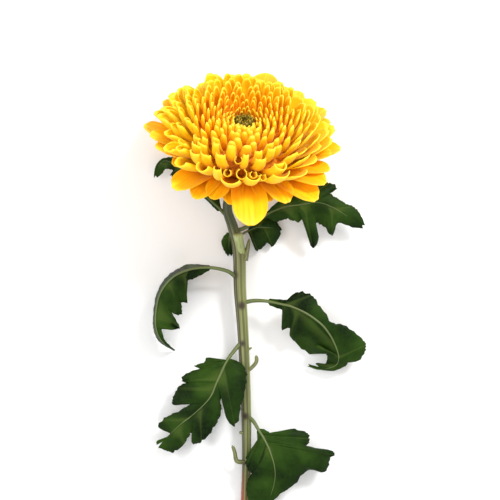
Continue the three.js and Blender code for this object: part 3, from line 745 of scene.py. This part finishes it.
# Side shoots and scars: points from the stem outwards, the radius at each end, and how the end is rounded.
shoots = [
    {"line": [(-3.4, -6, 12.5), (-1.6, 1, 13.3), (-0.4, 7, 13.5)], "radii": (2.2, 0.7), "end": 2},
    {"line": [(-2.4, -74, 9.5), (2, -70, 11), (3.9, -67, 12), (3.6, -63.5, 12)],
     "radii": (1.1, 1.2), "end": 3},
    {"line": [(-2.4, -60.5, 11), (1.2, -59, 11.5)], "radii": (1, 0.5), "end": 3},
    {"line": [(-3, -128.5, 6.5), (-6, -128.5, 7.4), (-8.4, -127.3, 8.3), (-9.4, -122, 9.6),
              (-10.8, -118, 11)], "radii": (1.5, 1.0), "end": 4},
    {"line": [(-3, -111, 7.5), (-6.6, -110.4, 8.5)], "radii": (0.9, 0.9), "end": 3},
]
shootForm = {"steps": 14, "sides": 20, "rounded": 0.2, "ribs": 5, "ribHeight": 0.06}
for shoot in shoots:
    def shootSurface(share, angle, shoot=shoot):
        size = mix(*shoot["radii"], share) * roundedEnd(share, shootForm["rounded"], shoot["end"], 0.01)
        return size * (1 + shootForm["ribHeight"] * math.cos(shootForm["ribs"] * angle))

    line = evenly(smoothLine(shoot["line"], 8), shootForm["steps"])
    addRod(stemMesh, line, shootForm["sides"], shootSurface,
           vein=lambda side, along: 0.35 + 0.4 * math.cos(shootForm["ribs"] * math.pi * side) ** 2)
newPiece("stemAndShoots", stemMesh, stemSkin, ("stem",))

# The pale stub where a side branch was cut, with a raised rim and a darker middle.
cutStub = {
    "line": [(-5, -2, 13.5), (-6.4, 4, 16.4), (-7.8, 10.2, 18.6)], "radii": (2.3, 3.1), "steps": 16,
    "sides": 28, "rounded": 0.14, "end": 4, "ribs": 3, "ribHeight": 0.05, "middle": 0.03, "middleDark": 0.75,
    "skin": {
        "streaks": 20.0, "run": 3.0, "ridge": 0.3, "ridgeColour": (0.5, 0.56, 0.25),
        "dark": (0.12, 0.15, 0.03),
        "round": [(0.0, (0.2, 0.24, 0.06)), (0.3, (0.42, 0.48, 0.2)), (0.5, (0.3, 0.34, 0.12)),
                  (1.0, (0.2, 0.24, 0.06))],
        "flush": (0.2, 0.24, 0.06), "top": (0.45, 0.52, 0.24),
    },
}
stubMesh = newMesh()


def stubSurface(share, angle):
    size = mix(*cutStub["radii"], share) * roundedEnd(share, cutStub["rounded"], cutStub["end"], 0.01)
    return size * (1 + cutStub["ribHeight"] * math.cos(cutStub["ribs"] * angle))


addRod(stubMesh, evenly(smoothLine(cutStub["line"], 8), cutStub["steps"]), cutStub["sides"], stubSurface,
       vein=lambda side, along: 0.5 + 0.5 * math.cos(6 * math.pi * side),
       spot=lambda side, along: cutStub["middleDark"] * smoothStep((along - 1 + cutStub["middle"])
                                                                   / cutStub["middle"]))
newPiece("cutStub", stubMesh, stemMaterial("stub_skin", cutStub["skin"]))

# The green cup under the bloom, with rows of overlapping bracts: radius and height of tips and of roots, and
# how many there are.
calyxLook = {
    "cup": [(0, -5.5), (4.2, -5.5), (6, -3.5), (8.6, -1), (9.8, 1.5), (9.6, 2.7), (0, 2.7)], "sides": 32,
    "rows": [(13.0, 1.0, 5.5, -3.2, 13), (15.4, 3.1, 7.5, -1.2, 13)],
    "bract": {"halfWidth": 2.6, "rootAngle": 70, "tipAngle": 58, "roll": 0.35},
    "cells": (5, 6), "thickness": 0.6, "smoothing": 1,
    "skin": {
        "streaks": 14.0, "run": 2.0, "ridge": 0.4, "ridgeColour": (0.3, 0.36, 0.12),
        "dark": (0.04, 0.07, 0.01),
        "round": [(0.0, (0.14, 0.2, 0.04)), (0.5, (0.08, 0.13, 0.02)), (1.0, (0.14, 0.2, 0.04))],
        "flush": (0.08, 0.13, 0.02), "top": (0.08, 0.13, 0.02),
    },
}
cup = newMesh()
addTurned(cup, calyxLook["cup"], calyxLook["sides"])
newPiece("calyxCup", cup, stemMaterial("calyx_skin", calyxLook["skin"]), ("calyx",))
bracts = newMesh()
for row, (radius, height, rootRadius, rootHeight, count) in enumerate(calyxLook["rows"]):
    for n in range(count):
        shape = {**calyxLook["bract"], "azimuth": 2 * math.pi * (n + 0.5 * row) / count, "radius": radius,
                 "height": height, "root": (rootRadius, rootHeight)}
        addPetal(bracts, shape, *calyxLook["cells"])
newPiece("calyxBracts", bracts, stemMaterial("bract_skin", calyxLook["skin"]), (),
         calyxLook["thickness"], calyxLook["smoothing"])

# Each leaf: its rib from the stem to the tip, how far each half droops in degrees, and the edge of each half
# as seen from above. Left is as seen when walking from the stem to the tip.
leaves = {
    "leaf_top_right": {
        "rib": [(-9.5, 11, 13.2), (-3, 13.5, 14.4), (5, 18, 15.2), (12, 22.4, 16), (21, 26, 17),
            (30, 27.2, 17.4), (40.2, 28.6, 17.4), (49.2, 26, 16.6), (60.4, 19.2, 14), (68.5, 14.6, 10.5)],
        "droop": (10, 18),
        "left": [(9.6, 22.2), (17, 29), (25, 33), (36, 34.5), (43, 40.5), (48, 40.5), (52.5, 37), (48, 34),
            (57, 28.4), (62, 26), (66.5, 21.5), (69.5, 15)],
        "right": [(10.4, 19.8), (15.6, 17.4), (22, 18.6), (28, 17.2), (34, 18.3), (37.5, 15), (36.6, 4),
            (38.5, 1.5), (41.2, 6), (39.8, 16.5), (45, 14), (49.6, 8.6), (53, 16.4), (61, 14), (68.4, 13.2)],
    },
    "leaf_top_left": {
        "rib": [(-11.2, 16.8, 13.8), (-18, 24.6, 15.2), (-27, 33, 15.2), (-34.2, 41.4, 14.8),
            (-40.8, 48, 14), (-46.8, 52.5, 13), (-52.2, 53.7, 11.4), (-55.8, 50.2, 9), (-57.4, 44.6, 5.4)],
        "droop": (8, 8),
        "left": [(-19.6, 23.4), (-25, 29), (-29.5, 33), (-33, 36.5), (-39, 42), (-44, 43.5), (-48, 45),
            (-46, 48), (-50.5, 49), (-53.5, 46.4), (-56.4, 44)],
        "right": [(-17.6, 26), (-20, 34), (-25, 40), (-31, 46), (-35, 53), (-42, 56.6), (-48.5, 56),
            (-52.8, 55.2), (-56.4, 52), (-57.8, 48), (-58.2, 44)],
    },
    "leaf_top_back": {
        "rib": [(-7.6, 7.4, 11.4), (-3, 10.6, 9), (3, 13.2, 7.6), (9, 13.8, 6.6), (14.5, 13, 5.8),
            (19, 11.4, 5)],
        "droop": (4, 4),
        "left": [(-0.6, 13.4), (3, 18), (10, 20), (15.5, 17.6), (19.4, 12.2)],
        "right": [(0, 10.2), (1.8, 4.5), (4.5, -0.8), (11, 4.4), (13.8, 2.4), (17, 6.6), (18.8, 10.2)],
    },
    "leaf_top_small": {
        "rib": [(-10.8, 12.5, 11.6), (-12.4, 8.4, 7.2), (-12.8, 2, 4.6), (-12.4, -3, 2.6)],
        "droop": (4, 4),
        "left": [(-10.8, 8), (-9.2, 4), (-9.4, 0), (-11.4, -3.6)],
        "right": [(-14, 10.6), (-17, 6), (-16.8, 2), (-15, -1.4), (-13.2, -3.8)],
    },
    "leaf_mid_left": {
        "rib": [(-8.4, -16.4, 12), (-13.2, -12.9, 15), (-21.6, -10.8, 18.5), (-30, -10.8, 20.5),
            (-37.8, -12.3, 21.5), (-45, -15.6, 22), (-50.7, -21, 21.5), (-54.6, -28.2, 20.5),
            (-56.4, -36.6, 19), (-56.7, -45, 17), (-55, -51.8, 14.5), (-51.6, -56.4, 12), (-46.2, -60, 8)],
        "droop": (6, 80),
        "left": [(-24.6, -12.3), (-33.4, -16.8), (-39, -19.8), (-37.8, -30.6), (-41.8, -31.6),
            (-40.8, -36.6), (-42.8, -39.2), (-47.4, -37.8), (-42.6, -46), (-43.8, -47.6), (-48, -48),
            (-52.9, -45), (-52.2, -52.8), (-49.2, -57), (-45.4, -60.8)],
        "right": [(-24.6, -9.3), (-37.2, -8.9), (-42, -10.6), (-47.4, -13.8), (-52.2, -18.6), (-56.1, -25.6),
            (-57.9, -34), (-58.6, -43), (-57.8, -51), (-54.6, -56), (-46, -61.4)],
    },
    "leaf_mid_right": {
        "rib": [(-5, -32.2, 11), (2, -30.6, 13), (10.1, -30.8, 15), (18, -32.3, 17.4), (26.2, -34.4, 19),
            (34.2, -38.2, 20), (42.2, -44, 20), (46.5, -48.8, 19.5), (50.3, -55.2, 18), (53.4, -63.4, 14),
            (52.4, -69.4, 9.6), (46.6, -72, 6.6), (40.6, -72.4, 5), (35.6, -70.6, 4.4)],
        "droop": (8, 24),
        "left": [(12, -29.3), (23.2, -30), (26.2, -26.4), (30.4, -25.2), (36.8, -27.4), (42.2, -33.8),
            (49.2, -43.5), (55.6, -45), (67.8, -53.7), (69.6, -57.4), (68.4, -63.3), (64.8, -67.2),
            (61.6, -63.8), (58.6, -69.2), (49.2, -73.2), (35, -70.6)],
        "right": [(12, -33.4), (19.8, -36), (21.8, -38.2), (19.2, -47.3), (25.6, -46.8), (24, -51.6),
            (32.4, -60.6), (39, -63), (39.6, -57.6), (45.4, -60.6), (47, -65.4), (45.4, -69.2), (40, -69),
            (42, -71.2), (35.4, -69.4)],
    },
    "leaf_low_left": {
        "rib": [(-5.4, -56, 10), (-10.2, -61.6, 13.4), (-14.3, -67.5, 15.8), (-19.5, -78.5, 18),
            (-24.1, -88.8, 18.4), (-33.9, -98.7, 16.6), (-43.2, -106.2, 13.6), (-54, -117.2, 8)],
        "droop": (3, 10),
        "left": [(-12.9, -68.1), (-11.1, -65.8), (-4.5, -69.2), (-2.4, -73.8), (-2.8, -80.8), (-5.7, -95.8),
            (-9.1, -105.8), (-14.3, -100.6), (-15.7, -88.3), (-18.2, -90.9), (-17.2, -95.8), (-19.5, -103.3),
            (-24.7, -110.8), (-29.3, -115.4), (-34.8, -116.5), (-33.3, -110.4), (-36.2, -111.3),
            (-39.7, -117.1), (-46, -122.3), (-51.2, -121.2), (-55.6, -119.4)],
        "right": [(-15.8, -66.8), (-25.3, -65), (-27.6, -67.5), (-33.3, -69.8), (-30.2, -71.8),
            (-38.5, -74.4), (-41.1, -79), (-37.4, -79.8), (-43.7, -83.1), (-46.4, -90), (-45.5, -93.5),
            (-34.5, -87.9), (-35.7, -92.7), (-44.9, -98.1), (-52.4, -102.5), (-55.3, -107.3),
            (-47.4, -111.6), (-55.8, -115.4), (-56.6, -118)],
    },
    "leaf_low_right": {
        "rib": [(-1.8, -100.6, 7.8), (1.8, -103.2, 11), (5.2, -108.4, 14.4), (9, -114.6, 16),
            (12.3, -121.8, 16.4), (14.7, -130.2, 16), (15, -138, 15), (12.6, -147.6, 13),
            (7.8, -159.4, 9.6)],
        "droop": (9, 3),
        "left": [(8.6, -108), (13.4, -111), (19, -110.2), (25, -108), (33.6, -110.2), (36, -114),
            (35.3, -118.6), (48.4, -121.2), (51, -124.2), (48.4, -125.4), (45, -134.1), (35.4, -132.6),
            (26.4, -141.4), (17.4, -148), (10.8, -154.8), (8.4, -160.4)],
        "right": [(4.2, -109.6), (4.7, -119.4), (0.6, -120.6), (-1.8, -124.2), (-2.2, -129), (1.1, -135),
            (4.8, -133.2), (0, -137.8), (-2.2, -145.2), (0, -153.6), (3.6, -156.8), (6.6, -160.6)],
    },
}

# The leaves' cells, edges, veins, relief and stalks in millimetres or shares, and the looks of their blades.
leafLook = {
    "across": 20, "perCorner": 6, "ribSteps": 12, "samples": 120, "thickness": 0.5, "tooth": 0.9,
    "toothOver": 8, "arch": 0.1, "quilt": 0.45, "quiltOver": 12, "quiltShift": 0.12, "veinSlant": 0.9,
    "veinWidth": (0.5, 0.22), "veinFade": 0.55, "veinDepth": 0.4, "rowSpan": 1.3, "leastSpan": 0.12,
    "leastRows": 6,
    "stalk": {"radius": 1.35, "smaller": 0.6, "tip": 0.22, "taper": 0.55, "steps": 60, "sides": 14,
              "ribs": 4, "ribHeight": 0.1, "end": 20},
    "stops": [(0.36, (0.003, 0.01, 0.001)), (0.5, (0.01, 0.029, 0.002)), (0.66, (0.024, 0.058, 0.005))],
    "net": 420.0, "patches": 48.0, "grain": 1300.0, "netStops": [(0.0, 0.3), (0.09, 0.0)],
    "netColour": (0.02, 0.045, 0.008), "vein": 0.55, "veinColour": (0.07, 0.11, 0.02),
    "roughStops": [(0.3, 0.42), (0.7, 0.6)], "netRelief": 0.8, "grainRelief": 0.25, "relief": (0.0005, 0.5),
    "surface": {"Sheen Weight": 0.01, "Specular IOR Level": 0.07},
}


# Dark green blade with paler veins, a net of fine veins between them and a soft waxy shine.
def leafMaterial():
    material, tree, shader = newMaterial("leaf_blade", leafLook["surface"])
    place = objectPlace(tree)
    net = addNode(tree, "TexVoronoi", {"Vector": place, "Scale": leafLook["net"]},
                  feature="DISTANCE_TO_EDGE").outputs["Distance"]
    patch = noise(tree, place, leafLook["patches"], 3.0)
    grain = noise(tree, place, leafLook["grain"], 3.0)
    body = ramp(tree, patch, leafLook["stops"])
    body = blendColour(tree, ramp(tree, net, leafLook["netStops"]), body, leafLook["netColour"])
    vein = times(tree, attribute(tree, "vein"), leafLook["vein"])
    tree.links.new(blendColour(tree, vein, body, leafLook["veinColour"]), shader.inputs["Base Color"])
    tree.links.new(ramp(tree, patch, leafLook["roughStops"]), shader.inputs["Roughness"])
    height = calc(tree, "ADD", times(tree, net, leafLook["netRelief"]),
                  times(tree, grain, leafLook["grainRelief"]))
    addRelief(tree, shader, (height, *leafLook["relief"]))
    return material


# For each point of a half's edge: where it is, how far from the rib and where on the rib its vein starts.
def leafEdge(ribLine, length, corners, droop):
    fall, last, start, found = math.tan(math.radians(droop)), len(ribLine) - 1, 0, []
    for k, corner in enumerate(smoothLine([(x, y, 0) for x, y in corners], leafLook["perCorner"])):
        gaps = [math.hypot(corner.x - p.x, corner.y - p.y) for p in ribLine]
        nearest = gaps.index(min(gaps))
        out = gaps[nearest]
        tooth = leafLook["tooth"] * min(1, out / leafLook["toothOver"]) * jitter(k // 2, 31) * (k % 2)
        foot = Vector((ribLine[nearest].x, ribLine[nearest].y, 0))
        corner = foot.lerp(corner, 1 + tooth / max(out, 1))
        start = max(start, nearest / last * length - leafLook["veinSlant"] * out)
        found.append((Vector((corner.x, corner.y, ribLine[nearest].z - out * fall)), out, start))
    return found


# The rows whose corner stands out from the rib, where a side vein runs.
def veinRows(half, rows):
    outs = [out for _, out, _ in half]
    step = leafLook["perCorner"]
    peaks = [i for i in range(step, len(outs) - step, step)
             if outs[i] >= max(outs[i - step], outs[i + step])]
    return [i * rows / (len(half) - 1) for i in peaks]


def addLeaf(mesh, leaf):
    ribLine = evenly(smoothLine(leaf["rib"], leafLook["ribSteps"]), leafLook["samples"])
    length = sum((b - a).length for a, b in zip(ribLine, ribLine[1:]))
    halves = [leafEdge(ribLine, length, leaf[half], droop)
              for half, droop in zip(("left", "right"), leaf["droop"])]
    rows = max(len(half) for half in halves) - 1
    veins = [veinRows(half, rows) for half in halves]

    def inHalf(half, k):
        return half[round(k * (len(half) - 1) / rows)]

    # For a row of cells: the edge's distance from the rib, its place, and the place on the rib.
    def ends(side, k):
        edge, out, _ = inHalf(halves[0] if side < 0 else halves[1], k)
        starts = [inHalf(half, k)[2] for half in halves]
        want = min(length, sum(starts) / 2) / length * leafLook["samples"]
        i = min(leafLook["samples"] - 1, int(want))
        return out, edge, ribLine[i].lerp(ribLine[i + 1], want - i)

    def veinAt(side, along):
        k, reach = round(along * rows), abs(side)
        out, _, _ = ends(side, k)
        spacing = max(leafLook["leastSpan"],
                      leafLook["rowSpan"] * out * reach / max(leafLook["leastRows"], rows / 4))
        width = mix(*leafLook["veinWidth"], reach)
        best = max((math.exp(-(abs(k - peak) * spacing / width) ** 2)
                    for peak in (veins[0] if side < 0 else veins[1])), default=0)
        return best * (1 - leafLook["veinFade"] * reach)

    def place(side, along):
        k, reach = round(along * rows), abs(side)
        out, edge, root = ends(side, k)
        peaks = veins[0] if side < 0 else veins[1]
        arch = leafLook["arch"] * out * 4 * reach * (1 - reach)
        if peaks:
            off = min(abs(k - peak) for peak in peaks) / leafLook["perCorner"]
            arch += (leafLook["quilt"] * min(1, out / leafLook["quiltOver"]) * smoothStep(off)
                     * math.sin(math.pi * min(1, reach + leafLook["quiltShift"])))
        point = root.lerp(edge, reach)
        point.z += arch - leafLook["veinDepth"] * veinAt(side, along) * (1 - reach)
        point.z += liftAt(point.z)
        return point

    addSheet(mesh, leafLook["across"], rows, place, vein=veinAt)


leafBlade = leafMaterial()
leafRib = stemMaterial("leaf_rib", {
    "streaks": 12.0, "run": 6.0, "ridge": 0.45, "ridgeColour": (0.22, 0.27, 0.09),
    "dark": (0.03, 0.05, 0.008),
    "round": [(0.0, (0.07, 0.1, 0.02)), (0.25, (0.14, 0.18, 0.05)), (0.5, (0.06, 0.09, 0.016)),
              (1.0, (0.07, 0.1, 0.02))],
    "flush": (0.06, 0.09, 0.016), "top": (0.06, 0.09, 0.016),
})
stalkForm = leafLook["stalk"]


def addStalk(mesh, leaf, thick):
    def stalkSurface(share, angle):
        size = mix(thick, stalkForm["tip"], share ** stalkForm["taper"])
        size *= 1 + stalkForm["ribHeight"] * math.cos(stalkForm["ribs"] * angle)
        return size * roundedEnd(share, 1, stalkForm["end"], 0.02)

    line = evenly(smoothLine(leaf["rib"], leafLook["ribSteps"]), stalkForm["steps"])
    addRod(mesh, line, stalkForm["sides"], stalkSurface,
           vein=lambda side, along: math.cos(stalkForm["ribs"] * math.pi * side) ** 2)


for name, leaf in leaves.items():
    words = name.split("_")
    title = words[0] + "".join(word.capitalize() for word in words[1:])
    blade = newMesh()
    addLeaf(blade, leaf)
    newPiece(title + "Blade", blade, leafBlade, (name,), leafLook["thickness"])
    stalk = newMesh()
    small = name in ("leaf_top_small", "leaf_top_back")
    addStalk(stalk, leaf, stalkForm["radius"] * (stalkForm["smaller"] if small else 1))
    newPiece(title + "Rib", stalk, leafRib)

# The floor, the lights and the camera, placed in metres. The photo looks straight down on the flower.
studio = {
    "floor": 1.6, "haze": 3.0, "hazeStops": [(0.3, (0.93, 0.93, 0.93)), (0.7, (0.95, 0.95, 0.948))],
    "surface": {"Roughness": 0.85}, "world": 1.0, "aim": (0, 0.05, 0.02),
    "lights": {"keyLight": {"place": (0.75, 0.85, 1.0), "size": 0.35, "power": 15.0},
               "fillLight": {"place": (-0.9, 0.2, 1.2), "size": 0.9, "power": 5.0}},
    "camera": (-0.0031, 0.0441, 1.29988), "lens": 153.6, "sensor": 36, "clip": (0.05, 20),
}


def floorMaterial():
    material, tree, shader = newMaterial("floor_paint", studio["surface"])
    haze = noise(tree, objectPlace(tree), studio["haze"], 2.0)
    tree.links.new(ramp(tree, haze, studio["hazeStops"]), shader.inputs["Base Color"])
    return material


ground = bmesh.new()
bmesh.ops.create_grid(ground, x_segments=2, y_segments=2, size=studio["floor"])
floorData = bpy.data.meshes.new("floor")
ground.to_mesh(floorData)
ground.free()
floorData.materials.append(floorMaterial())
floor = bpy.data.objects.new("floor", floorData)
scene.collection.objects.link(floor)


def addLight(name, place, size, power):
    lamp = bpy.data.lights.new(name, "AREA")
    lamp.shape, lamp.size, lamp.energy = "DISK", size, power
    light = bpy.data.objects.new(name, lamp)
    light.location = place
    light.rotation_mode = "QUATERNION"
    light.rotation_quaternion = (Vector(studio["aim"]) - Vector(place)).to_track_quat("-Z", "Y")
    scene.collection.objects.link(light)


for name, light in studio["lights"].items():
    addLight(name, **light)
world = bpy.data.worlds.new("studio")
world.use_nodes = True
world.node_tree.nodes["Background"].inputs[0].default_value = (1, 1, 1, 1)
world.node_tree.nodes["Background"].inputs[1].default_value = studio["world"]
scene.world = world

lens = bpy.data.cameras.new("camera")
lens.lens, lens.sensor_width = studio["lens"], studio["sensor"]
lens.clip_start, lens.clip_end = studio["clip"]
camera = bpy.data.objects.new("camera", lens)
camera.location = studio["camera"]
scene.collection.objects.link(camera)
scene.camera = camera
print("light and camera placed")
